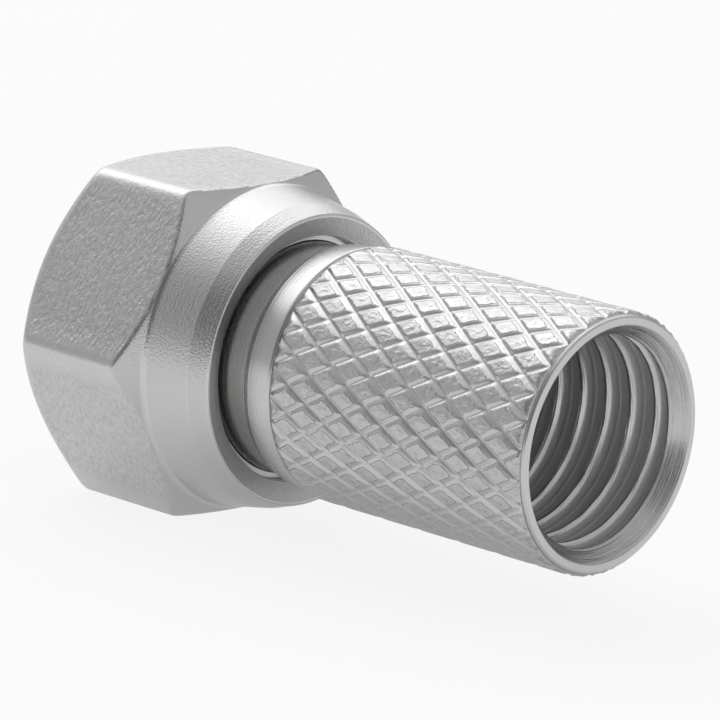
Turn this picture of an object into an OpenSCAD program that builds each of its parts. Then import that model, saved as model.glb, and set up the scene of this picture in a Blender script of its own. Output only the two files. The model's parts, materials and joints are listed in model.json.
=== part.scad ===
// Twist-on coaxial F plug: a knurled body that screws onto the cable's jacket,
// and a loose hexagonal coupling nut crimped round its neck.
// +X runs from the mating end to the cable, +Z is up, and the nut lies on one of
// its flats. The origin is the centre of the body's front face, the reference
// plane that seats against the mating socket.

/* [Coupling nut] */
// Width across the flats
nut_across_flats = 11; // [10.8:0.1:12]
// Length from the front face to the rear rim
nut_length = 8.05; // [7.8:0.05:9]
// Diameter of the flat front face
nut_face_d = 10.4; // [10:0.1:10.8]
// Slope of the front chamfer, measured from the face
nut_front_chamfer = 38; // [25:1:45]
// Slope of the rear chamfer, measured from the face
nut_rear_chamfer = 36; // [25:1:45]
// Distance from the front face to the rear end of the hexagon's corners
hex_length = 4.95; // [4.5:0.05:5.2]
// Diameter of the skirt where it leaves the hexagon
skirt_front_d = 10.84; // [10.6:0.02:10.9]
// Diameter of the skirt at its rear rim
skirt_rear_d = 9.72; // [9.6:0.02:9.9]
// How far the skirt swells out between its two ends
skirt_swell = 0.07; // [0:0.01:0.12]
// Diameter of the hole in the crimped rear lip
lip_d = 8.2; // [8.1:0.02:8.5]
// How far the rear rim is dished towards the lip
lip_dish = 0.34; // [0.1:0.02:0.4]

/* [Coupling thread] */
// Minor diameter of the 3/8-32 socket thread
coupling_minor_d = 8.75; // [8.65:0.01:8.86]
// Major diameter of the 3/8-32 socket thread
coupling_major_d = 9.54; // [9.53:0.01:9.6]
// Diameter of the countersink at the thread's mouth
countersink_d = 9.8; // [9.7:0.05:10]
// Distance from the front face to the end of the thread
coupling_thread_end = 5.6; // [5:0.1:5.8]
// Distance from the nut's front face back to the body's front face
mating_depth = 6.35; // [6.25:0.05:6.4]
// Diameter of the space in the nut that holds the flange
flange_room_d = 9.2; // [9.1:0.02:9.3]

/* [Body] */
// Length from the front face to the mouth
body_length = 14.55; // [14:0.05:16]
// Diameter of the flange that the nut turns on
flange_d = 9; // [8.9:0.02:9.04]
// Thickness of the flange
flange_thickness = 1; // [0.8:0.05:1.05]
// Diameter of the neck behind the flange
neck_d = 7.74; // [7.5:0.02:7.9]
// Distance from the front face to the end of the neck
neck_end = 2.32; // [2.1:0.02:2.6]
// Diameter of the smooth band at its front edge
band_front_d = 8.12; // [8:0.02:8.2]
// Diameter of the smooth band where the knurl starts
band_rear_d = 8.32; // [8.24:0.02:8.4]
// Length of the rounded shoulder between the neck and the smooth band
shoulder_length = 0.3; // [0.1:0.05:0.6]
// Diameter of the plain rim at the mouth
rim_d = 8.32; // [8.22:0.02:8.4]
// Length of the plain rim at the mouth
rim_length = 0.1; // [0.1:0.05:0.8]

/* [Knurl] */
// Diameter over the tops of the diamonds
knurl_d = 8.54; // [8.46:0.02:8.7]
// Depth of the grooves
knurl_depth = 0.17; // [0.12:0.01:0.2]
// Number of grooves of each hand
knurl_starts = 28; // [22:1:36]
// Number of half diamonds along the sleeve
knurl_rows = 13; // [9:1:17]
// Distance from the front face to the start of the knurl
knurl_start = 3.7; // [3.4:0.05:4.2]
// Share of each diamond that is left flat on top
knurl_flat = 0.54; // [0.3:0.02:0.7]

/* [Cable entry] */
// Diameter of the hole for the cable's inner insulation
centre_bore_d = 5; // [4.7:0.05:5.2]
// Length of that hole
centre_bore_length = 2.25; // [2:0.05:2.6]
// Diameter of the mouth, where the flared lead-in to the cable thread begins
mouth_d = 7.68; // [7.44:0.02:7.76]
// Length of the flared lead-in
lead_in_length = 0.55; // [0.4:0.05:0.9]
// Diameter over the crests of the cable thread
cable_crest_d = 6.84; // [6.6:0.02:7]
// Diameter over the roots of the cable thread
cable_root_d = 7.38; // [7.2:0.02:7.42]
// Pitch of the cable thread
cable_pitch = 1.03; // [0.9:0.01:1.4]
// Width of the flat crest on each turn of the cable thread
crest_width = 0.16; // [0.08:0.02:0.3]
// Width of the sloping flank on each side of the crest
flank_width = 0.15; // [0.05:0.05:0.25]
// Length of the cone between the centre hole and the cable thread
entry_cone = 0.5; // [0.2:0.1:0.8]

/* [Hidden] */

round_fn = 96;
edge = 0.08;                 // small broken edges
overlap = 1;                 // how far cutting shapes run past a face
lip_gap = 0.1;               // between the lip and the flange
arc_steps = 8;
shoulder_swell = 0.05;       // how far the shoulder's curve bulges
knurl_floor = 0.06;          // solid left between the grooves and the plain sleeve
knurl_sink = 0.14;           // how far the knurl's ring reaches into the plain sleeve
corner_r = nut_across_flats / sqrt(3);
face_r = nut_face_d / 2;
blank_r = corner_r + overlap;
crest_r = knurl_d / 2;
groove_r = crest_r - knurl_depth;
core_r = groove_r - knurl_floor;
knurl_inner_r = core_r - knurl_sink;
knurl_end = body_length - rim_length;
row_step = (knurl_end - knurl_start) / knurl_rows;
half_pitch = 180 / knurl_starts;
coupling_pitch = 25.4 / 32;
root_share = 1 / 8;          // flat at a standard thread's root, as a share of its pitch
lead_in_land = 0.06;         // flat between the lead-in and the first valley behind it
mouth_valley = 0.12;         // width of that valley's floor
lead_in_end = body_length - lead_in_length;
cable_thread_end = lead_in_end - lead_in_land - flank_width - mouth_valley;
cable_turns = floor((cable_thread_end - centre_bore_length - entry_cone) / cable_pitch);

// Turns a shape drawn round Z so that its axis lies along X.
module along_x() { rotate([0, 90, 0]) children(); }

// Solid of revolution from [radius, distance] points.
module turned(points) { rotate_extrude($fn = round_fn) polygon(points); }

// Points from a to b that swell out sideways by the given amount.
function bowed(a, b, swell) = let (run = b - a, side = [run.y, -run.x] / norm(run))
    [for (i = [0 : arc_steps]) let (t = i / arc_steps) a + run * t + side * swell * 4 * t * (1 - t)];

// Outside of the nut: chamfers at both ends of the hexagon, then the skirt.
function nut_outline() = let (
        front_run = (blank_r - face_r) * tan(nut_front_chamfer),
        rear_run = tan(nut_rear_chamfer),
        skirt_r = skirt_front_d / 2,
        skirt_start = hex_length + (corner_r - skirt_r) * rear_run,
        rim_r = skirt_rear_d / 2)
    concat(
        [[0, 0], [face_r, 0], [blank_r, front_run],
         [blank_r, hex_length - (blank_r - corner_r) * rear_run]],
        bowed([skirt_r, skirt_start], [rim_r + edge, nut_length - edge], skirt_swell),
        [[rim_r, nut_length], [lip_d / 2, nut_length - lip_dish], [0, nut_length - lip_dish]]);

// Ring-shaped ridges that stand for the turns of an internal thread. The last one ends
// at the given distance, and each has a flat crest between two sloping flanks.
function ridges(turns, end, pitch, root_r, crest_r, crest, flank) =
    [for (turn = [1 : turns]) let (last = end - (turns - turn) * pitch)
        each [[root_r, last - 2 * flank - crest], [crest_r, last - flank - crest],
              [crest_r, last - flank], [root_r, last]]];

// Inside of the nut: countersink, thread, room for the flange, and lip.
function nut_bore() = let (
        sink_r = countersink_d / 2,
        root_r = coupling_major_d / 2,
        minor_r = coupling_minor_d / 2,
        sink_end = sink_r - root_r,
        root = coupling_pitch * root_share,
        flank = (root_r - minor_r) * tan(30),
        turns = floor((coupling_thread_end - sink_end) / coupling_pitch),
        room_end = mating_depth + flange_thickness + lip_gap)
    concat(
        [[0, -overlap], [sink_r + overlap, -overlap], [root_r, sink_end]],
        ridges(turns, coupling_thread_end - root, coupling_pitch, root_r, minor_r,
               coupling_pitch - root - 2 * flank, flank),
        [[root_r, coupling_thread_end], [flange_room_d / 2, coupling_thread_end],
         [flange_room_d / 2, room_end], [lip_d / 2, room_end],
         [lip_d / 2, nut_length + overlap], [0, nut_length + overlap]]);

module coupling_nut() {
    color("silver")
    translate([-mating_depth, 0, 0])
    along_x()
    difference() {
        intersection() {
            rotate(30) cylinder(r = corner_r, h = nut_length, $fn = 6);
            turned(nut_outline());
        }
        turned(nut_bore());
    }
}

// Outside of the body without its knurl.
function body_outline() = let (flange_r = flange_d / 2, neck_r = neck_d / 2, rim_r = rim_d / 2)
    concat(
        [[0, 0], [flange_r - edge, 0], [flange_r, edge], [flange_r, flange_thickness - edge],
         [flange_r - edge, flange_thickness], [neck_r, flange_thickness]],
        bowed([neck_r, neck_end], [band_front_d / 2, neck_end + shoulder_length], shoulder_swell),
        [[band_rear_d / 2, knurl_start], [core_r, knurl_start], [core_r, knurl_end],
         [rim_r, knurl_end], [rim_r, body_length - edge], [rim_r - edge, body_length],
         [0, body_length]]);

// Inside of the body: centre hole, then the cable thread, then the flared lead-in.
function body_bore() =
    concat(
        [[0, -overlap], [centre_bore_d / 2, -overlap], [centre_bore_d / 2, centre_bore_length],
         [cable_root_d / 2, centre_bore_length + entry_cone]],
        ridges(cable_turns, cable_thread_end, cable_pitch, cable_root_d / 2, cable_crest_d / 2,
               crest_width, flank_width),
        [[cable_root_d / 2, cable_thread_end + mouth_valley],
         [cable_crest_d / 2, lead_in_end - lead_in_land], [cable_crest_d / 2, lead_in_end],
         [mouth_d / 2, body_length - edge],
         [mouth_d / 2 + edge + overlap, body_length + overlap], [0, body_length + overlap]]);

// A point at the given radius, angle and distance.
function polar(r, angle, z) = [r * cos(angle), r * sin(angle), z];

// Diamond knurl as one closed ring. Each row holds the crossings of the grooves
// and the diamonds between them, half a pitch further round in every other row.
module knurl_ring() {
    cross = 0; low = 1; high = 2; front = 3; back = 4;
    points_each = 5;
    inner_base = (knurl_rows + 1) * knurl_starts * points_each;
    function at(row, k, which) = (row * knurl_starts + k % knurl_starts) * points_each + which;
    function inner(end, m) = inner_base + end * 2 * knurl_starts + m % (2 * knurl_starts);
    function z_of(row) = knurl_start + row * row_step;

    outer_points = [for (row = [0 : knurl_rows], k = [0 : knurl_starts - 1])
        let (valley = (2 * k + row % 2) * half_pitch, top = valley + half_pitch)
        each [polar(groove_r, valley, z_of(row)),
              polar(crest_r, top - knurl_flat * half_pitch, z_of(row)),
              polar(crest_r, top + knurl_flat * half_pitch, z_of(row)),
              polar(crest_r, top, z_of(max(0, row - knurl_flat))),
              polar(crest_r, top, z_of(min(knurl_rows, row + knurl_flat)))]];
    inner_points = [for (end = [0, 1], m = [0 : 2 * knurl_starts - 1])
        polar(knurl_inner_r, m * half_pitch, end == 0 ? knurl_start : knurl_end)];

    tops = [for (row = [0 : knurl_rows], k = [0 : knurl_starts - 1])
        each [[at(row, k, low), at(row, k, back), at(row, k, front)],
              [at(row, k, front), at(row, k, back), at(row, k, high)]]];
    // The two walls of each diamond that face the flange.
    front_walls = [for (row = [1 : knurl_rows], k = [0 : knurl_starts - 1])
        let (before = at(row - 1, k + row % 2, cross))
        each [[at(row, k, cross), at(row, k, front), before],
              [at(row, k, cross), at(row, k, low), at(row, k, front)],
              [before, at(row, k, front), at(row, k + 1, cross)],
              [at(row, k, front), at(row, k, high), at(row, k + 1, cross)]]];
    // The two walls of each diamond that face the mouth.
    back_walls = [for (row = [0 : knurl_rows - 1], k = [0 : knurl_starts - 1])
        let (after = at(row + 1, k + row % 2, cross))
        each [[at(row, k, cross), after, at(row, k, back)],
              [at(row, k, cross), at(row, k, back), at(row, k, low)],
              [after, at(row, k + 1, cross), at(row, k, back)],
              [at(row, k, back), at(row, k + 1, cross), at(row, k, high)]]];
    front_end = [for (k = [0 : knurl_starts - 1])
        each [[at(0, k, cross), at(0, k, low), at(0, k, front), inner(0, 2 * k + 1), inner(0, 2 * k)],
              [at(0, k, front), at(0, k, high), at(0, k + 1, cross),
               inner(0, 2 * k + 2), inner(0, 2 * k + 1)]]];
    back_end = [for (k = [0 : knurl_starts - 1]) let (m = 2 * k + knurl_rows % 2)
        each [[inner(1, m), inner(1, m + 1), at(knurl_rows, k, back),
               at(knurl_rows, k, low), at(knurl_rows, k, cross)],
              [inner(1, m + 1), inner(1, m + 2), at(knurl_rows, k + 1, cross),
               at(knurl_rows, k, high), at(knurl_rows, k, back)]]];
    bore = [for (m = [0 : 2 * knurl_starts - 1])
        [inner(0, m), inner(0, m + 1), inner(1, m + 1), inner(1, m)]];

    polyhedron(
        points = concat(outer_points, inner_points),
        faces = concat(tops, front_walls, back_walls, front_end, back_end, bore));
}

module plug_body() {
    color("gainsboro")
    along_x()
    union() {
        difference() {
            turned(body_outline());
            turned(body_bore());
        }
        knurl_ring();
    }
}

coupling_nut();
plug_body();
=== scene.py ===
"""Looks of a twist-on coaxial F plug.

A loose hexagonal coupling nut turns on the neck of a turned body with a diamond-knurled
sleeve. Both are nickel plated. Sizes are in metres, +X runs from the mating end to the
cable, and the origin is the centre of the body's front face.
"""

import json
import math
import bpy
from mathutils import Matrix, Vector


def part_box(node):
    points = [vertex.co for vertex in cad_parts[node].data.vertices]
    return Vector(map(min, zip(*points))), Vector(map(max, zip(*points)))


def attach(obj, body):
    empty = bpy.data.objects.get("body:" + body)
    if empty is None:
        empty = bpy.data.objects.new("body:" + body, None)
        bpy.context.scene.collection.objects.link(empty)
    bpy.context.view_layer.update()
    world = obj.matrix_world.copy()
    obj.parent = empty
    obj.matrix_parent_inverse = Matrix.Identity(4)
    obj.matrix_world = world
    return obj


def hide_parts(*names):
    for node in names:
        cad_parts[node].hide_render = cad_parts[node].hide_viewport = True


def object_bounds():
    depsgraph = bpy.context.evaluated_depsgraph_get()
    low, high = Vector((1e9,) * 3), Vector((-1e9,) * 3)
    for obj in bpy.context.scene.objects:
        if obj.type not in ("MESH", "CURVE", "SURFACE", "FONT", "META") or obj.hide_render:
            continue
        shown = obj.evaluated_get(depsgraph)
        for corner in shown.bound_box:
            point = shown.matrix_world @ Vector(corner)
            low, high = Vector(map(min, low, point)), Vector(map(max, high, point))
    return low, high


bl_info = {
    "name": "Twist-on Coaxial Plug",
    "version": (1, 0, 0),
    "blender": (4, 5, 0),
    "location": "3D View > Sidebar > Coaxial Plug",
    "description": "Builds the coupling nut, the knurled body, their threads and a plain stage",
    "category": "Object",
}

import bpy
from mathutils import Matrix, Vector

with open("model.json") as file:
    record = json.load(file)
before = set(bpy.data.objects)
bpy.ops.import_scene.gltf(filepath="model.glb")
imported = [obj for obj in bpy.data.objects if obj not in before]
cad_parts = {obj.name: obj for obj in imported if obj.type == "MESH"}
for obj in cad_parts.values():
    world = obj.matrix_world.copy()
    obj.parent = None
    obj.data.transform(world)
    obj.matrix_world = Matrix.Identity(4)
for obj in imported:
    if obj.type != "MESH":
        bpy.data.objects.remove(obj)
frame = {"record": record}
CAD_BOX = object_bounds()
NUT_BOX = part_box("coupling_nut")
BODY_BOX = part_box("plug_body")
MOUNTS = {mount["name"]: mount for mount in frame["record"]["mounts"]}

MM = 0.001
SEAM = 0.0005 * MM
TURNED_COLUMNS = 240
RUN_OUT_TURNS = 0.3

# The coupling bore: its front chamfer and the length of its thread.
COUPLING_CHAMFER = 0.13 * MM
COUPLING_LENGTH = 5.6 * MM

# The sleeve: the smooth band's radius beside the knurl, the plain core under the knurl,
# the rise of the mouth's chamfer and the short flat between lead-in and cable thread.
BAND_RADIUS = 4.16 * MM
CORE_RADIUS = 4.04 * MM
CHAMFER_SLOPE = 1.0
LEAD_IN_FLAT = 0.06 * MM


def add_object(name, data):
    """A new object in the scene."""
    obj = bpy.data.objects.new(name, data)
    bpy.context.scene.collection.objects.link(obj)
    return obj


# Sections -----------------------------------------------------------------------------


def corner_arc(before, corner, after, radius, steps=4):
    """Points that round a corner between two straight stretches, with one point of
    support on each side so that the flats next to it stay flat. Gives (point, edge)
    pairs, as section_line does."""
    longest_share = 0.45
    support_share = 0.6
    longest_support = 0.03 * MM
    into = (before - corner).normalized()
    out = (after - corner).normalized()
    half_angle = into.angle(out) / 2
    shorter = min((before - corner).length, (after - corner).length)
    setback = min(radius / math.tan(half_angle), longest_share * shorter)
    true_radius = setback * math.tan(half_angle)
    centre = corner + (into + out).normalized() * true_radius / math.sin(half_angle)
    first = corner + into * setback
    last = corner + out * setback
    sweep = math.pi - 2 * half_angle
    turn = 1 if (first - centre).cross(last - centre) > 0 else -1
    arc = []
    for step in range(steps + 1):
        spin = Matrix.Rotation(turn * sweep * step / steps, 2)
        arc.append((centre + spin @ (first - centre), 1.0))
    support = min(support_share * setback, longest_support)
    arc.insert(0, (first + into * support, 0.0))
    arc.append((last + out * support, 0.0))
    return arc


def section_line(corners, longest):
    """The closed outline of a section from its corners, each (distance, radius, rounding).
    Gives (point, edge) pairs: edge is 1 on a rounded corner and 0 elsewhere."""
    places = [Vector((x, r)) for x, r, _ in corners]
    line = []
    for index, (_, _, rounding) in enumerate(corners):
        before = places[index - 1]
        after = places[(index + 1) % len(places)]
        if rounding > 0:
            line += corner_arc(before, places[index], after, rounding)
        else:
            line.append((places[index], 0.0))
    filled = []
    for index, (place, edge) in enumerate(line):
        following, next_edge = line[(index + 1) % len(line)]
        filled.append((place, edge))
        gaps = int((following - place).length / longest)
        for gap in range(1, gaps + 1):
            share = gap / (gaps + 1)
            filled.append((place.lerp(following, share), edge + (next_edge - edge) * share))
    return filled


def section_object(name, line):
    """A mesh of loose points that carries a section into a Geometry Nodes tree."""
    mesh = bpy.data.meshes.new(name)
    mesh.from_pydata([(point.x, point.y, 0.0) for point, _ in line], [], [])
    edges = mesh.attributes.new("edge", "FLOAT", "POINT")
    edges.data.foreach_set("value", [edge for _, edge in line])
    return add_object(name, mesh)


# Node graphs --------------------------------------------------------------------------


class Value:
    """A number, vector or shape that comes out of a node. Arithmetic adds Math nodes."""

    def __init__(self, graph, socket):
        self.graph = graph
        self.socket = socket

    def _math(self, operation, first, second):
        return self.graph.math(operation, first, second)

    def __add__(self, other):
        return self._math("ADD", self, other)

    def __radd__(self, other):
        return self._math("ADD", other, self)

    def __sub__(self, other):
        return self._math("SUBTRACT", self, other)

    def __rsub__(self, other):
        return self._math("SUBTRACT", other, self)

    def __mul__(self, other):
        return self._math("MULTIPLY", self, other)

    def __rmul__(self, other):
        return self._math("MULTIPLY", other, self)

    def __truediv__(self, other):
        return self._math("DIVIDE", self, other)

    def __rtruediv__(self, other):
        return self._math("DIVIDE", other, self)

    def __pow__(self, other):
        return self._math("POWER", self, other)

    def __mod__(self, other):
        return self._math("FLOORED_MODULO", self, other)


class Graph:
    """Adds nodes to a shader tree or a Geometry Nodes tree."""

    def __init__(self, tree):
        self.tree = tree

    def node(self, kind, settings=None, inputs=None, output=0):
        """Adds a node, sets its settings, then its inputs by name or number."""
        node = self.tree.nodes.new(kind)
        for name, value in (settings or {}).items():
            setattr(node, name, value)
        for key, value in (inputs or {}).items():
            socket = node.inputs[key]
            if isinstance(value, Value):
                self.tree.links.new(value.socket, socket)
            else:
                socket.default_value = value
        return Value(self, node.outputs[output])

    def math(self, operation, first, second=0.0, third=0.0):
        return self.node("ShaderNodeMath", {"operation": operation},
                         {0: first, 1: second, 2: third})

    def attribute(self, name):
        """A number that the shape's tree left on the mesh."""
        return self.node("ShaderNodeAttribute", {"attribute_name": name}, output=2)

    def noise(self, place, scale, detail):
        return self.node("ShaderNodeTexNoise", None,
                         {"Vector": place, "Scale": scale, "Detail": detail})

    def rings(self, x, scale, detail):
        """A noise that changes only along the axis, as turning marks do."""
        return self.node("ShaderNodeTexNoise", {"noise_dimensions": "1D"},
                         {"W": x, "Scale": scale, "Detail": detail})

    def clamp(self, value):
        return self.node("ShaderNodeClamp", None, {"Value": value})

    def step(self, value, low, high):
        """A smooth step from 0 at low to 1 at high."""
        return self.node("ShaderNodeMapRange", {"interpolation_type": "SMOOTHSTEP"},
                         {"Value": value, "From Min": low, "From Max": high})

    def towards(self, direction, target):
        """How closely a direction points at a target, 1 at the target itself."""
        return self.node("ShaderNodeVectorMath", {"operation": "DOT_PRODUCT"},
                         {0: direction, 1: target}, output=1)

    def combine(self, x, y, z):
        return self.node("ShaderNodeCombineXYZ", None, {"X": x, "Y": y, "Z": z})

    def parts(self, vector):
        """The three numbers of a vector."""
        split = self.node("ShaderNodeSeparateXYZ", None, {"Vector": vector}).socket.node
        return [Value(self, split.outputs[axis]) for axis in range(3)]

    def length(self, first, second):
        """The length of a vector with these two parts."""
        return self.math("SQRT", first * first + second * second)


class ShapeGraph(Graph):
    """A Geometry Nodes tree with named inputs for its sizes. Its finish method ends it."""

    def __init__(self, name, inputs):
        super().__init__(bpy.data.node_groups.new(name, "GeometryNodeTree"))
        self.tree.is_modifier = True
        face = self.tree.interface
        face.new_socket("Geometry", in_out="OUTPUT", socket_type="NodeSocketGeometry")
        face.new_socket("Section", in_out="INPUT", socket_type="NodeSocketGeometry")
        for label, kind in inputs:
            face.new_socket(label, in_out="INPUT", socket_type="NodeSocket" + kind)
        face.new_socket("Material", in_out="INPUT", socket_type="NodeSocketMaterial")
        self.entry = self.tree.nodes.new("NodeGroupInput")

    def input(self, label):
        return Value(self, self.entry.outputs[label])

    def move(self, shape, position, selection=True):
        """Moves the selected points to their own new positions."""
        return self.node("GeometryNodeSetPosition", None,
                         {"Geometry": shape, "Selection": selection, "Position": position})

    def place(self, shape, x, radius, angle):
        """Moves each point to a distance along X, a radius and an angle about X."""
        return self.move(shape, self.combine(x, radius * self.math("COSINE", angle),
                                             radius * self.math("SINE", angle)))

    def keep(self, shape, name, value):
        """Keeps a number on each point for the material."""
        return self.node("GeometryNodeStoreNamedAttribute", {"data_type": "FLOAT"},
                         {"Geometry": shape, "Name": name, "Value": value})

    def close(self, shape):
        """Joins the points that lie on one another along a seam."""
        return self.node("GeometryNodeMergeByDistance", None,
                         {"Geometry": shape, "Distance": SEAM})

    def finish(self, shape):
        """Closes seams, shades smooth, realizes instances and sets the material."""
        shaded = self.node("GeometryNodeSetShadeSmooth", None,
                           {"Geometry": self.close(shape)})
        real = self.node("GeometryNodeRealizeInstances", None, {"Geometry": shaded})
        done = self.node("GeometryNodeSetMaterial", None,
                         {"Geometry": real, "Material": self.input("Material")})
        exit_node = self.tree.nodes.new("NodeGroupOutput")
        self.tree.links.new(done.socket, exit_node.inputs["Geometry"])


def sample_section(graph, section, row):
    """The place and the edge value of one point of the section."""
    index = graph.node("FunctionNodeFloatToInt", {"rounding_mode": "FLOOR"}, {0: row})
    place = graph.node(
        "GeometryNodeSampleIndex", {"data_type": "FLOAT_VECTOR"},
        {"Geometry": section, "Value": graph.node("GeometryNodeInputPosition"),
         "Index": index})
    edge = graph.node(
        "GeometryNodeSampleIndex", {"data_type": "FLOAT"},
        {"Geometry": section, "Index": index,
         "Value": graph.node("GeometryNodeInputNamedAttribute", {"data_type": "FLOAT"},
                             {"Name": "edge"})})
    x, radius, _ = graph.parts(place)
    return x, radius, edge


def section_grid(graph, columns):
    """A grid with a row for each point of the section, the first one again at the end,
    and the given number of columns. Gives the grid, and each point's row and column."""
    section = graph.input("Section")
    points = graph.node("GeometryNodeAttributeDomainSize", None, {"Geometry": section})
    grid = graph.node("GeometryNodeMeshGrid", None,
                      {"Vertices X": points + 1, "Vertices Y": columns + 1})
    index = graph.node("GeometryNodeInputIndex")
    row = graph.math("FLOOR", (index + 0.5) / (columns + 1))
    column = index - row * (columns + 1)
    return grid, row % points, column


def turned_tree():
    """Turns a section once round the X axis, and cuts it to a hexagon if that is smaller.
    Where two surfaces meet they are rounded. Three attributes are kept. 'edge' is 1 on a
    rounded edge of the section. 'corner' grows with the distance from a corner of the
    hexagon and 'past' is how far the turned surface lies below the hexagon, both in
    millimetres."""
    graph = ShapeGraph("Turned section", [
        ("Columns", "Int"), ("Flat Distance", "Float"), ("Corner Rounding", "Float"),
        ("Middle", "Float"), ("Front Rounding", "Float"), ("Rear Rounding", "Float")])
    columns = graph.input("Columns")
    grid, row, column = section_grid(graph, columns)
    x, radius, edge = sample_section(graph, graph.input("Section"), row)

    # Each sixth of a turn has more columns near the hexagon's corners.
    crowding = 0.4
    turn = column / columns * 6
    side = graph.math("ROUND", turn)
    across = (turn - side) * 2
    across = across * (1 + crowding - crowding * across * across)
    fold = graph.math("ABSOLUTE", across) * (math.pi / 6)
    angle = (side + across * 0.5) * (math.pi / 3) + math.pi / 2

    flat = graph.input("Flat Distance")
    rear = graph.math("GREATER_THAN", x, graph.input("Middle"))
    front_rounding = graph.input("Front Rounding")
    rounding = front_rounding + (graph.input("Rear Rounding") - front_rounding) * rear
    near_flat = flat / graph.math("COSINE", fold)
    next_flat = flat / graph.math("COSINE", math.pi / 3 - fold)
    hexagon = graph.math("SMOOTH_MIN", near_flat, next_flat, graph.input("Corner Rounding"))
    cut = graph.math("SMOOTH_MIN", hexagon, radius, rounding)
    values = {"edge": edge, "past": (hexagon - radius) / MM,
              "corner": (next_flat - near_flat) / MM}
    for name, value in values.items():
        grid = graph.keep(grid, name, value)
    graph.finish(graph.place(grid, x, cut, angle))
    return graph.tree


def thread_tree():
    """Sweeps a section along a right-handed helix round the X axis. The section's size
    fades to nothing at both ends, and the thread is cut off square at two planes."""
    graph = ShapeGraph("Thread", [
        ("Columns", "Int"), ("Turns", "Float"), ("Pitch", "Float"), ("Start", "Float"),
        ("Root Radius", "Float"), ("Run Out Turns", "Float"), ("Front Cut", "Float"),
        ("Rear Cut", "Float")])
    columns = graph.input("Columns")
    grid, row, column = section_grid(graph, columns)
    x, height, edge = sample_section(graph, graph.input("Section"), row)
    turned = column / columns * graph.input("Turns")
    to_end = graph.math("MINIMUM", turned, graph.input("Turns") - turned)
    fade = graph.clamp(to_end / graph.input("Run Out Turns"))
    fade = fade * (2 - fade)
    x = graph.input("Start") + turned * graph.input("Pitch") + x * fade
    x = graph.math("MAXIMUM", x, graph.input("Front Cut"))
    x = graph.math("MINIMUM", x, graph.input("Rear Cut"))
    radius = graph.input("Root Radius") - height * fade
    grid = graph.keep(grid, "edge", edge)
    graph.finish(graph.place(grid, x, radius, turned * (2 * math.pi)))
    return graph.tree


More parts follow.
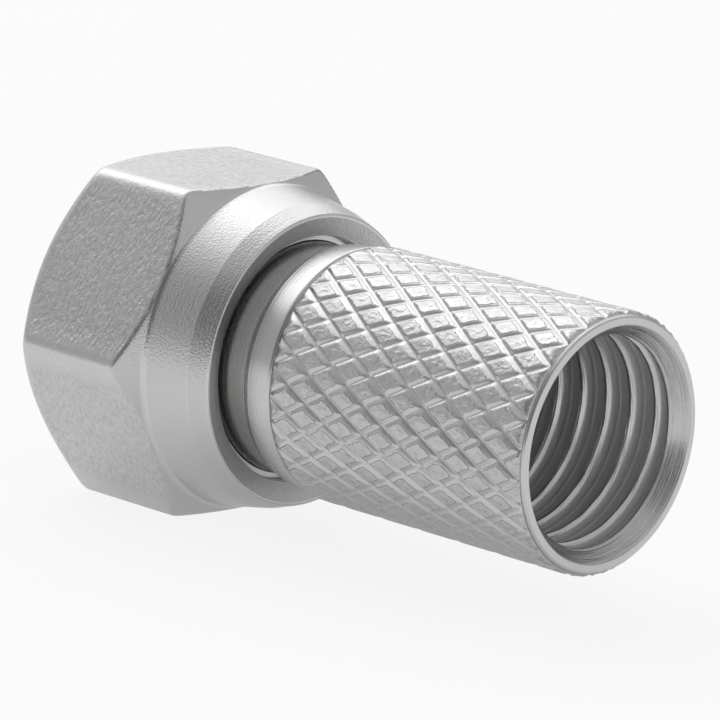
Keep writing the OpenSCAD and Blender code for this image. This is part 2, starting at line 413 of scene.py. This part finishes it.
def knurl_tree():
    """Diamonds pressed up between two crossing sets of grooves. One diamond is a small
    grid whose lines run along the grooves. It is repeated over the sleeve, cut off
    square at both ends and wrapped round the X axis. 'inset' keeps how far each point
    lies inside its diamond's edge, in millimetres."""
    graph = ShapeGraph("Diamond knurl", [
        ("Starts", "Int"), ("Rows", "Int"), ("Start", "Float"), ("End", "Float"),
        ("Crest Radius", "Float"), ("Groove Depth", "Float"), ("Groove Width", "Float"),
        ("Cross Width", "Float"), ("Land Radius", "Float"), ("Run Out", "Float"),
        ("Inner Radius", "Float"), ("Chamfer Radius", "Float"), ("Chamfer Slope", "Float")])
    starts = graph.input("Starts")
    rows = graph.input("Rows")
    start = graph.input("Start")
    end = graph.input("End")
    crest = graph.input("Crest Radius")
    depth = graph.input("Groove Depth")
    row_step = (end - start) / rows
    pitch = 2 * math.pi / starts
    half_width = pitch * crest / 2
    side = graph.math("SQRT", row_step * row_step + half_width * half_width)
    gap = 2 * row_step * half_width / side

    # One diamond, with its points drawn together towards the grooves.
    lines = 11
    crowding = 0.55
    cell = graph.node("GeometryNodeMeshGrid", None,
                      {"Size X": 2.0, "Size Y": 2.0, "Vertices X": lines, "Vertices Y": lines})
    across, along, _ = graph.parts(graph.node("GeometryNodeInputPosition"))
    u = graph.math("SIGN", across) * graph.math("ABSOLUTE", across) ** crowding
    v = graph.math("SIGN", along) * graph.math("ABSOLUTE", along) ** crowding
    to_cross = (1 - graph.math("ABSOLUTE", u)) * gap / 2
    to_groove = (1 - graph.math("ABSOLUTE", v)) * gap / 2

    # The cross grooves stop short of the full depth. The deeper grooves have a steep wall
    # on one side and a slack one on the other, each a share of the groove's width.
    cross_floor = 0.35
    cross_steepness = 1.3
    steep_share = 0.4
    slack_share = 1.15
    cross_width = graph.input("Cross Width")
    cross_wall = depth * cross_floor + to_cross * cross_steepness * depth / cross_width
    slack_side = graph.math("GREATER_THAN", along, 0.0)
    wall_share = steep_share + (slack_share - steep_share) * slack_side
    groove_width = graph.input("Groove Width") * wall_share
    groove_wall = to_groove * 2 * depth / groove_width
    wall = graph.math("SMOOTH_MIN", cross_wall, groove_wall, depth * 0.1)
    height = graph.math("SMOOTH_MIN", wall, depth, depth * 0.12)
    inset = graph.math("MINIMUM", to_cross - cross_width / 2, to_groove - groove_width / 2)
    cell = graph.keep(cell, "inset", inset / MM)
    cell = graph.move(cell, graph.combine((u + v) * row_step / 2, (u - v) * pitch / 4, height))

    # The middles of the diamonds: every other row is shifted by half a pitch.
    middles = graph.node("GeometryNodeMeshGrid", None,
                         {"Vertices X": rows + 1, "Vertices Y": starts})
    index = graph.node("GeometryNodeInputIndex")
    row = graph.math("FLOOR", (index + 0.5) / starts)
    column = index - row * starts
    shift = ((row + 1) % 2) * 0.5
    middles = graph.move(middles, graph.combine(start + row * row_step,
                                                (column + shift) * pitch, 0.0))
    field = graph.node("GeometryNodeInstanceOnPoints", None,
                       {"Points": middles, "Instance": cell})
    field = graph.node("GeometryNodeRealizeInstances", None, {"Geometry": field})

    # Cut off square at both ends: run out at the land, chamfered at the mouth.
    x, turn, height = graph.parts(graph.node("GeometryNodeInputPosition"))
    outside = graph.math("MAXIMUM", graph.math("LESS_THAN", x, start),
                         graph.math("GREATER_THAN", x, end))
    field = graph.node("GeometryNodeDeleteGeometry", {"domain": "FACE"},
                       {"Geometry": field, "Selection": outside})
    x = graph.math("MINIMUM", graph.math("MAXIMUM", x, start), end)
    full = graph.clamp((x - start) / graph.input("Run Out"))
    land = graph.input("Land Radius")
    radius = land + (crest - depth + height - land) * full
    chamfer = graph.input("Chamfer Radius") + (end - x) * graph.input("Chamfer Slope")
    radius = graph.math("SMOOTH_MIN", radius, chamfer, depth * 0.2)
    wrapped = graph.close(graph.place(field, x, radius, turn))

    # Both ends are turned in, down into the plain sleeve.
    neighbours = graph.node("GeometryNodeInputMeshEdgeNeighbors")
    ends = graph.math("LESS_THAN", neighbours, 2.0)
    turned_in = graph.node("GeometryNodeExtrudeMesh", {"mode": "EDGES"},
                           {"Mesh": wrapped, "Selection": ends, "Offset Scale": 0.0})
    inner_end = Value(graph, turned_in.socket.node.outputs["Top"])
    x, y, z = graph.parts(graph.node("GeometryNodeInputPosition"))
    shrink = graph.input("Inner Radius") / graph.length(y, z)
    graph.finish(graph.move(turned_in, graph.combine(x, y * shrink, z * shrink), inner_end))
    return graph.tree


def made_by_tree(name, source, tree, **values):
    """A plain mesh made by a Geometry Nodes tree from the source object, which goes."""
    modifier = source.modifiers.new(name, "NODES")
    modifier.node_group = tree
    sockets = {item.name: item.identifier for item in tree.interface.items_tree
               if item.in_out == "INPUT"}
    for label, value in values.items():
        modifier[sockets[label.replace("_", " ").title()]] = value
    depsgraph = bpy.context.evaluated_depsgraph_get()
    depsgraph.update()
    mesh = bpy.data.meshes.new_from_object(source.evaluated_get(depsgraph))
    source.modifiers.remove(modifier)
    mesh.name = name
    piece = add_object(name, mesh)
    bpy.data.objects.remove(source, do_unlink=True)
    if not mesh.polygons:
        raise RuntimeError(name + " came out empty")
    return piece


# Settings -----------------------------------------------------------------------------


def length_property(label, description, default):
    return bpy.props.FloatProperty(name=label, description=description, default=default,
                                   subtype="DISTANCE", unit="LENGTH", precision=5)


class PlugNutSettings(bpy.types.PropertyGroup):
    """Sizes of the coupling nut."""

    front: length_property("Front", "Distance of the front face", NUT_BOX[0][0])
    rear: length_property("Rear", "Distance of the rear rim", NUT_BOX[1][0])
    across_flats: length_property("Across Flats", "Width across the flats",
                                  NUT_BOX[1][2] - NUT_BOX[0][2])
    corner_rounding: length_property("Corner Rounding", "How softly the corners are rounded",
                                     0.5 * MM)
    front_rounding: length_property("Front Rounding", "Rounding of the front chamfer's edge",
                                    0.4 * MM)
    rear_rounding: length_property("Rear Rounding", "Rounding of the rear chamfer's edge",
                                   0.16 * MM)
    thread_radius: length_property("Thread Radius", "Minor radius of the coupling thread",
                                   MOUNTS["coupling_thread"]["dims"]["r_mm"] * MM)
    thread_depth: length_property("Thread Depth", "Depth of the coupling thread", 0.395 * MM)
    thread_pitch: length_property("Thread Pitch", "Pitch of the coupling thread", 25.4 / 32 * MM)


class PlugBodySettings(bpy.types.PropertyGroup):
    """Sizes of the knurled body."""

    length: length_property("Length", "From the front face to the mouth", BODY_BOX[1][0])
    flange_radius: length_property("Flange Radius", "Radius of the front flange",
                                   BODY_BOX[1][2])
    knurl_start: length_property("Knurl Start", "Where the knurl begins", 3.7 * MM)
    rim_length: length_property("Rim Length", "Plain rim behind the knurl", 0.1 * MM)
    face_radius: length_property("Mouth Face Radius", "Outer radius of the mouth's face",
                                 4.08 * MM)
    crest_radius: length_property("Knurl Radius", "Radius over the diamonds", 4.27 * MM)
    groove_depth: length_property("Groove Depth", "Depth of the knurl's grooves", 0.11 * MM)
    groove_width: length_property("Groove Width", "Width of the deeper grooves", 0.36 * MM)
    cross_width: length_property("Cross Groove Width", "Width of the shallower grooves",
                                 0.27 * MM)
    starts: bpy.props.IntProperty(name="Starts", description="Grooves of each hand",
                                  default=28)
    rows: bpy.props.IntProperty(name="Rows", description="Half diamonds along the sleeve",
                                default=13)
    bore_radius: length_property("Bore Radius", "Radius of the centre hole",
                                 MOUNTS["centre_bore"]["dims"]["r_mm"] * MM)
    mouth_radius: length_property("Mouth Radius", "Inner radius of the mouth", 3.84 * MM)
    lead_in: length_property("Lead-in Length", "Length of the flared lead-in", 0.55 * MM)
    crest_bore: length_property("Thread Crest Radius", "Radius over the cable thread",
                                MOUNTS["cable_thread"]["dims"]["r_mm"] * MM)
    root_bore: length_property("Thread Root Radius", "Radius under the cable thread",
                               3.65 * MM)
    thread_pitch: length_property("Thread Pitch", "Pitch of the cable thread", 1.03 * MM)


class PlugFinishSettings(bpy.types.PropertyGroup):
    """Colours of the plating."""

    nut_colour: bpy.props.FloatVectorProperty(
        name="Nut Plating", description="Colour of the nickel on the nut", subtype="COLOR",
        default=(0.6, 0.6, 0.595), min=0.0, max=1.0)
    body_colour: bpy.props.FloatVectorProperty(
        name="Body Plating", description="Colour of the nickel on the body", subtype="COLOR",
        default=(0.6, 0.6, 0.595), min=0.0, max=1.0)


class PlugStageSettings(bpy.types.PropertyGroup):
    """Camera and floor."""

    azimuth: bpy.props.FloatProperty(name="Azimuth", description="Camera's turn about +Z",
                                     default=math.radians(42.36), subtype="ANGLE")
    elevation: bpy.props.FloatProperty(name="Elevation", description="Camera's height angle",
                                       default=math.radians(14.21), subtype="ANGLE")
    roll: bpy.props.FloatProperty(name="Roll", description="Camera's turn about its own axis",
                                  default=math.radians(3.16), subtype="ANGLE")
    distance: length_property("Distance", "From the camera to its target", 190 * MM)
    target: bpy.props.FloatVectorProperty(
        name="Target", description="Where the camera points", subtype="XYZ",
        default=(6.70 * MM, -3.23 * MM, 1.57 * MM), precision=5)
    lens: bpy.props.FloatProperty(name="Lens", description="Focal length in millimetres",
                                  default=300.0)
    floor_colour: bpy.props.FloatVectorProperty(
        name="Floor", description="Colour of the floor", subtype="COLOR",
        default=(0.93, 0.93, 0.93), min=0.0, max=1.0)


# Materials ----------------------------------------------------------------------------


def surface(name, metallic):
    """A new material: its graph, its Principled shader and itself."""
    material = bpy.data.materials.new(name)
    material.use_nodes = True
    graph = Graph(material.node_tree)
    shader = material.node_tree.nodes["Principled BSDF"]
    shader.inputs["Metallic"].default_value = metallic
    return graph, shader, material


def finish_plating(graph, shader, colour, tone, rough, height):
    """Joins a plating's colour, roughness and relief to its shader. Height is in
    hundredths of a millimetre."""
    mixed = graph.node("ShaderNodeMix", {"data_type": "RGBA"},
                       {"Factor": graph.clamp(tone), 6: (0.0, 0.0, 0.0, 1.0),
                        7: (*colour, 1.0)}, output=2)
    bump = graph.node("ShaderNodeBump", None,
                      {"Height": height, "Strength": 1.0, "Distance": 0.01 * MM})
    graph.tree.links.new(mixed.socket, shader.inputs["Base Color"])
    graph.tree.links.new(graph.clamp(rough).socket, shader.inputs["Roughness"])
    graph.tree.links.new(bump.socket, shader.inputs["Normal"])


def nut_plating(nut, colour):
    """Nickel on a drawn hexagon: short streaks that run round the nut on the flats, finer
    grain on the turned skirt, worn corners and a thin dark line of painted shade where the
    chamfer starts."""
    graph, shader, material = surface("nut_plating", 1.0)
    place = graph.node("ShaderNodeTexCoord", output=3)
    x, y, z = graph.parts(place)
    edge = graph.attribute("edge")
    past = graph.attribute("past")
    corner = graph.attribute("corner")
    flats = 1 - graph.step(past, -0.05, 0.05)
    streaks = graph.noise(graph.combine(x * 2.0, y, z), 4600.0, 3.0)
    grain = graph.noise(place, 15000.0, 2.0)
    cloud = graph.noise(place, 420.0, 3.0)
    rings = graph.rings(x, 9000.0, 2.0)
    behind = graph.step(x, nut.front + 1.85 * MM, nut.front + 2.85 * MM)
    uneven = (streaks - 0.5) * 1.2
    worn = flats * (1 - graph.step(corner + uneven, 0.2, 1.3))
    front_wear = (1 - behind) * graph.step(past + uneven * 0.5, -0.45, -0.15)
    worn = graph.math("MAXIMUM", edge, graph.math("MAXIMUM", worn, front_wear))
    # Painted shade: a thin broken dark line in the small step where the chamfer starts, over a
    # shallow bumped groove.
    line = graph.step(past, 0.0, 0.04) * (1 - graph.step(past, 0.05, 0.1)) * behind
    line = line * graph.step(graph.noise(place, 170.0, 1.0), 0.48, 0.56)
    line = line * (1 - graph.step(x, nut.front + 5.3 * MM, nut.front + 5.4 * MM))
    relief = flats * streaks * 3.6 + (1 - flats) * (rings * 0.4 + grain * 0.6)
    height = relief * (1 - worn * 0.7) + grain * 0.8
    rough = 0.25 + flats * 0.13 + (cloud - 0.5) * 0.2 - worn * 0.04
    tone = 0.93 + (cloud - 0.5) * 0.12 + flats * (streaks - 0.5) * 0.6 + worn * 0.12
    finish_plating(graph, shader, colour, tone - line * 0.6, rough, height - line * 2)
    return material


def body_plating(body, colour):
    """Nickel on turned brass: fine rings round the axis, stronger in the bore, which the
    tap and the boring tool left streaky. The flare inside the mouth is painted a little darker,
    as painted shade."""
    graph, shader, material = surface("body_plating", 1.0)
    place = graph.node("ShaderNodeTexCoord", output=3)
    x, y, z = graph.parts(place)
    edge = graph.attribute("edge")
    radius = graph.length(y, z)
    bore = 1 - graph.step(radius, body.mouth_radius, body.mouth_radius + 0.03 * MM)
    lead_in_end = body.length - body.lead_in
    mouth = bore * graph.step(x, lead_in_end - 0.03 * MM, lead_in_end + 0.02 * MM)
    rings = graph.rings(x, 16000.0, 3.0)
    arcs = graph.noise(graph.combine(x * 14.0, y, z), 1100.0, 3.0)
    cloud = graph.noise(place, 500.0, 3.0)
    at_root = graph.step(radius, body.root_bore - 0.13 * MM, body.root_bore - 0.03 * MM)
    valley = bore * at_root * (1 - mouth)
    streaky = 0.08 + bore * 0.16 + mouth * 0.16
    height = rings * (0.4 + bore * 1.4) + arcs * (streaky * 3)
    rough = 0.26 + valley * 0.4 + (cloud - 0.5) * 0.2 + (arcs - 0.5) * streaky - edge * 0.05
    # Painted shade: the flare inside the mouth is painted a little darker.
    tone = 0.96 + (cloud - 0.5) * 0.1 + bore * (arcs - 0.5) * 0.4 - mouth * 0.08
    graph.tree.links.new((1 - valley * 0.85).socket, shader.inputs["Metallic"])
    finish_plating(graph, shader, colour, tone, rough, height)
    return material


def knurl_plating(colour):
    """Nickel on rolled diamonds: a raised lip along each diamond's edges, a small mark in
    its middle and a dull, slightly torn top."""
    graph, shader, material = surface("knurl_plating", 1.0)
    place = graph.node("ShaderNodeTexCoord", output=3)
    inset = graph.attribute("inset")
    grain = graph.noise(place, 7000.0, 3.0)
    torn = graph.noise(place, 4600.0, 2.0)
    cloud = graph.noise(place, 420.0, 3.0)
    ragged = inset + (torn - 0.5) * 0.12
    top = graph.step(ragged, -0.01, 0.02)
    lip = top * (1 - graph.step(ragged, 0.04, 0.09))
    middle = graph.step(ragged, 0.17, 0.24)
    height = top * 0.9 + lip * 0.5 + middle * 0.7 + top * torn * 4.0 + grain * 0.8
    rough = 0.3 + (cloud - 0.5) * 0.15 + top * 0.1
    tone = 0.97 + (cloud - 0.5) * 0.1 + top * (torn - 0.5) * 0.5
    finish_plating(graph, shader, colour, tone, rough, height)
    return material


# Pieces -------------------------------------------------------------------------------


def nut_corners(nut):
    """The nut's section from the front face round to the coupling bore's mouth, as
    section_line takes it. The hexagon is cut from a round blank that is larger than it."""
    front = nut.front
    rear = nut.rear
    corner = nut.across_flats / math.sqrt(3)
    blank = corner + 0.5 * MM
    face = 5.2 * MM
    front_run = (blank - face) * math.tan(math.radians(38))
    rear_slope = math.tan(math.radians(36))
    hexagon_end = front + 4.95 * MM
    skirt = 5.42 * MM
    skirt_start = hexagon_end + (corner - skirt) * rear_slope
    skirt_end = 5.11 * MM
    rim = 4.86 * MM
    rim_length = 0.78 * MM
    lip = 4.1 * MM
    lip_start = front + 7.45 * MM
    lip_dish = 0.34 * MM
    room = 4.6 * MM
    room_start = front + COUPLING_LENGTH
    root = nut.thread_radius + nut.thread_depth
    return [
        (front, face, 0.12 * MM),
        (front + front_run, blank, 0.0),
        (hexagon_end - (blank - corner) * rear_slope, blank, 0.0),
        (skirt_start, skirt, 0.25 * MM),
        (rear - rim_length, skirt_end, 0.25 * MM),
        (rear, rim, 0.1 * MM),
        (rear - lip_dish, lip, 0.06 * MM),
        (lip_start, lip, 0.0),
        (lip_start, room, 0.0),
        (room_start, room, 0.0),
        (room_start, root, 0.0),
        (front + COUPLING_CHAMFER, root, 0.04 * MM),
        (front, root + COUPLING_CHAMFER, 0.04 * MM),
    ]


def nut_ridge(nut):
    """The coupling thread's section, with its foot let into the bore."""
    foot = 0.42 * nut.thread_pitch
    crest = 0.07 * nut.thread_pitch
    depth = nut.thread_depth
    return [
        (-foot, 0.0, 0.0),
        (-crest, depth, 0.03 * MM),
        (crest, depth, 0.03 * MM),
        (foot, 0.0, 0.0),
        (0.0, -0.04 * MM, 0.0),
    ]


class PLUG_OT_nut(bpy.types.Operator):
    """Makes the hexagonal coupling nut with its crimped lip"""

    bl_idname = "plug.nut"
    bl_label = "Coupling Nut"

    def execute(self, context):
        nut = context.scene.plug_nut
        finish = context.scene.plug_finish
        material = nut_plating(nut, finish.nut_colour)
        line = section_line(nut_corners(nut), 0.09 * MM)
        piece = made_by_tree("nut_shell", section_object("nut_section", line),
                             turned_tree(), columns=TURNED_COLUMNS,
                             flat_distance=nut.across_flats / 2,
                             corner_rounding=nut.corner_rounding,
                             middle=(nut.front + nut.rear) / 2 - 2.0 * MM,
                             front_rounding=nut.front_rounding,
                             rear_rounding=nut.rear_rounding, material=material)
        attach(piece, "nut")
        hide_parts("coupling_nut")

        line = section_line(nut_ridge(nut), 0.2 * MM)
        thread = made_by_tree("nut_thread", section_object("nut_ridge", line),
                              thread_tree(), columns=900, turns=7.0,
                              pitch=nut.thread_pitch, start=nut.front - 0.15 * MM,
                              root_radius=nut.thread_radius + nut.thread_depth,
                              run_out_turns=RUN_OUT_TURNS,
                              front_cut=nut.front + COUPLING_CHAMFER,
                              rear_cut=nut.front + COUPLING_LENGTH, material=material)
        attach(thread, "nut")
        return {"FINISHED"}


def chamfer_radius(body):
    """The radius where the mouth's outer chamfer starts, at the knurl's end."""
    return body.face_radius + body.rim_length * CHAMFER_SLOPE


def body_corners(body):
    """The body's section from the front face along the outside and back through the bore,
    as section_line takes it."""
    flange = 1.0 * MM
    neck = 3.87 * MM
    neck_end = 2.32 * MM
    shoulder = 4.02 * MM
    shoulder_end = neck_end + 0.12 * MM
    band_front = 4.06 * MM
    band_start = neck_end + 0.3 * MM
    knurl_end = body.length - body.rim_length
    lip = body.crest_bore + 0.01 * MM
    lead_in_end = body.length - body.lead_in
    lip_end = lead_in_end - LEAD_IN_FLAT
    root_start = lip_end - 0.15 * MM
    bore_end = 2.25 * MM
    root_end = bore_end + 0.5 * MM
    return [
        (0.0, body.flange_radius, 0.08 * MM),
        (flange, body.flange_radius, 0.08 * MM),
        (flange, neck, 0.05 * MM),
        (neck_end, neck, 0.05 * MM),
        (shoulder_end, shoulder, 0.1 * MM),
        (band_start, band_front, 0.15 * MM),
        (body.knurl_start, BAND_RADIUS, 0.0),
        (body.knurl_start, CORE_RADIUS, 0.0),
        (knurl_end, CORE_RADIUS, 0.0),
        (knurl_end, chamfer_radius(body), 0.0),
        (body.length, body.face_radius, 0.04 * MM),
        (body.length, body.mouth_radius, 0.05 * MM),
        (lead_in_end, lip, 0.03 * MM),
        (lip_end, lip, 0.03 * MM),
        (root_start, body.root_bore, 0.03 * MM),
        (root_end, body.root_bore, 0.1 * MM),
        (bore_end, body.bore_radius, 0.06 * MM),
        (0.0, body.bore_radius, 0.06 * MM),
    ]


def body_ridge(body):
    """The cable thread's section: a ridge with a low bead beside it, their feet let into
    the bore."""
    depth = body.root_bore - body.crest_bore
    sunk = -0.02 * MM
    front = -0.18 * MM
    rear = 0.19 * MM
    crest = 0.05 * MM
    bead = 0.41 * MM
    bead_reach = 0.08 * MM
    bead_height = 0.03 * MM
    return [
        (front - 0.03 * MM, sunk, 0.0),
        (front, 0.0, 0.0),
        (-crest, depth, 0.05 * MM),
        (crest, depth, 0.05 * MM),
        (rear, 0.0, 0.0),
        (bead - bead_reach, 0.0, 0.0),
        (bead, bead_height, 0.03 * MM),
        (bead + bead_reach, 0.0, 0.0),
        (bead + bead_reach + 0.02 * MM, sunk, 0.0),
    ]


class PLUG_OT_body(bpy.types.Operator):
    """Makes the turned body, its diamond knurl and its cable thread"""

    bl_idname = "plug.body"
    bl_label = "Knurled Body"

    def execute(self, context):
        body = context.scene.plug_body
        finish = context.scene.plug_finish
        turned = body_plating(body, finish.body_colour)
        knurled = knurl_plating(finish.body_colour)
        line = section_line(body_corners(body), 0.25 * MM)
        no_flats = 1.0
        rounding = 0.1 * MM
        shell = made_by_tree("body_shell", section_object("body_section", line),
                             turned_tree(), columns=TURNED_COLUMNS, flat_distance=no_flats,
                             corner_rounding=rounding, middle=0.0, front_rounding=rounding,
                             rear_rounding=rounding, material=turned)
        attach(shell, "body")
        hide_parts("plug_body")

        seed = section_object("knurl_seed", [(Vector((0.0, 0.0)), 0.0)])
        knurl = made_by_tree("body_knurl", seed, knurl_tree(), starts=body.starts,
                             rows=body.rows, start=body.knurl_start,
                             end=body.length - body.rim_length,
                             crest_radius=body.crest_radius, groove_depth=body.groove_depth,
                             groove_width=body.groove_width, cross_width=body.cross_width,
                             land_radius=BAND_RADIUS - 0.01 * MM, run_out=0.25 * MM,
                             inner_radius=CORE_RADIUS - 0.09 * MM,
                             chamfer_radius=chamfer_radius(body),
                             chamfer_slope=CHAMFER_SLOPE, material=knurled)
        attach(knurl, "body")

        line = section_line(body_ridge(body), 0.3 * MM)
        thread = made_by_tree("body_thread", section_object("body_ridge", line),
                              thread_tree(), columns=1300, turns=10.9,
                              pitch=body.thread_pitch, start=3.104 * MM,
                              root_radius=body.root_bore, run_out_turns=RUN_OUT_TURNS,
                              front_cut=2.8 * MM,
                              rear_cut=body.length - body.lead_in - LEAD_IN_FLAT,
                              material=turned)
        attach(thread, "body")
        return {"FINISHED"}


# Stage --------------------------------------------------------------------------------


def add_floor(colour):
    """A wide pale floor under the nut. The camera sees it white, and its reflection is
    dimmer close to the body: a painted shadow of the body in what the metal mirrors."""
    size = 3.0
    low = CAD_BOX[0][2]
    middle = 9.0 * MM
    painted_shadow_core = 5.0 * MM
    painted_shadow_edge = 18.0 * MM
    camera_share = 0.86
    painted_shadow_share = 0.36
    bright_share = 0.74
    mesh = bpy.data.meshes.new("floor")
    mesh.from_pydata([(-size, -size, low), (size, -size, low), (size, size, low),
                      (-size, size, low)], [], [(0, 1, 2, 3)])
    floor = add_object("floor", mesh)
    graph, shader, material = surface("floor", 0.0)
    shader.inputs["Base Color"].default_value = (*colour, 1.0)
    shader.inputs["Roughness"].default_value = 0.9
    shader.inputs["Specular IOR Level"].default_value = 0.0
    glow = graph.node("ShaderNodeEmission", None, {"Color": (1.0, 1.0, 1.0, 1.0)})
    light_path = graph.node("ShaderNodeLightPath").socket.node
    mirrored = graph.clamp(Value(graph, light_path.outputs["Is Glossy Ray"])
                           + Value(graph, light_path.outputs["Is Transmission Ray"]))
    x, y, _ = graph.parts(graph.node("ShaderNodeTexCoord", output=3))
    # Painted shadow: near the body the metal mirrors less of the floor's glow.
    away = graph.step(graph.length(x - middle, y), painted_shadow_core, painted_shadow_edge)
    painted_shadow_mirror_level = painted_shadow_share + (bright_share - painted_shadow_share) * away
    seen = (Value(graph, light_path.outputs["Is Camera Ray"]) * camera_share
            + mirrored * painted_shadow_mirror_level)
    mixed = graph.node("ShaderNodeMixShader", None,
                       {0: graph.clamp(seen), 1: Value(graph, shader.outputs["BSDF"]),
                        2: glow})
    end = material.node_tree.nodes["Material Output"]
    graph.tree.links.new(mixed.socket, end.inputs["Surface"])
    mesh.materials.append(material)


def add_world():
    """A plain room with a big bright wall behind and to the left, brighter higher up, and
    a dim patch about where the onlooker stands."""
    wall_side = (-0.72, 0.4, 0.57)
    patch_side = (0.3, -0.8, 0.5)
    room_level = 0.58
    right_slope = 0.1
    low_wall = 0.3
    high_wall = 1.1
    patch_depth = 0.42
    world = bpy.data.worlds.new("studio")
    bpy.context.scene.world = world
    world.use_nodes = True
    graph = Graph(world.node_tree)
    place = graph.node("ShaderNodeTexCoord", output=0)
    right, _, up = graph.parts(place)
    height = graph.step(up, 0.25, 0.5)
    wall = low_wall + (high_wall - low_wall) * height
    wall = wall * graph.step(graph.towards(place, wall_side), 0.7, 0.9)
    patch = patch_depth * graph.step(graph.towards(place, patch_side), 0.74, 0.92)
    level = room_level + right * right_slope + wall - patch
    background = world.node_tree.nodes["Background"]
    world.node_tree.links.new(graph.combine(level, level, level).socket,
                              background.inputs["Color"])
    background.inputs["Strength"].default_value = 1.0


def add_softbox(place, size, power):
    """A square lamp that points at the object."""
    light = bpy.data.lights.new("key", "AREA")
    light.shape = "SQUARE"
    light.size = size
    light.energy = power
    lamp = add_object("key", light)
    lamp.location = place
    lamp.rotation_euler = (-Vector(place)).to_track_quat("-Z", "Y").to_euler()


def add_camera(stage):
    """The camera looks at its target from the given turn, height and roll."""
    data = bpy.data.cameras.new("camera")
    data.lens = stage.lens
    data.sensor_width = 36.0
    data.clip_start = 0.001
    camera = add_object("camera", data)
    away = Vector((math.sin(stage.azimuth) * math.cos(stage.elevation),
                   -math.cos(stage.azimuth) * math.cos(stage.elevation),
                   math.sin(stage.elevation)))
    turn = away.to_track_quat("Z", "Y").to_matrix().to_4x4()
    camera.matrix_world = (Matrix.Translation(Vector(stage.target) + away * stage.distance)
                           @ turn @ Matrix.Rotation(stage.roll, 4, "Z"))
    bpy.context.scene.camera = camera


class PLUG_OT_stage(bpy.types.Operator):
    """Adds the floor, the room, the lamp and the camera"""

    bl_idname = "plug.stage"
    bl_label = "Stage"

    def execute(self, context):
        stage = context.scene.plug_stage
        add_floor(stage.floor_colour)
        add_world()
        add_softbox(place=(-0.228, 0.0175, 0.2625), size=0.3, power=0.14)
        add_camera(stage)
        context.scene.view_settings.view_transform = "Standard"
        return {"FINISHED"}


class PLUG_PT_panel(bpy.types.Panel):
    """Lists the steps that build the plug"""

    bl_idname = "PLUG_PT_panel"
    bl_label = "Coaxial Plug"
    bl_space_type = "VIEW_3D"
    bl_region_type = "UI"
    bl_category = "Coaxial Plug"

    def draw(self, context):
        for step in STEPS:
            self.layout.operator(step.bl_idname)


STEPS = (PLUG_OT_stage, PLUG_OT_nut, PLUG_OT_body)
SETTINGS = {
    "plug_nut": PlugNutSettings,
    "plug_body": PlugBodySettings,
    "plug_finish": PlugFinishSettings,
    "plug_stage": PlugStageSettings,
}


def register():
    for name, group in SETTINGS.items():
        bpy.utils.register_class(group)
        setattr(bpy.types.Scene, name, bpy.props.PointerProperty(type=group))
    for step in STEPS:
        bpy.utils.register_class(step)
    bpy.utils.register_class(PLUG_PT_panel)


def unregister():
    bpy.utils.unregister_class(PLUG_PT_panel)
    for step in reversed(STEPS):
        bpy.utils.unregister_class(step)
    for name, group in SETTINGS.items():
        delattr(bpy.types.Scene, name)
        bpy.utils.unregister_class(group)


def main():
    register()
    bpy.ops.plug.stage()
    bpy.ops.plug.nut()
    bpy.ops.plug.body()


if __name__ == "__main__":
    main()
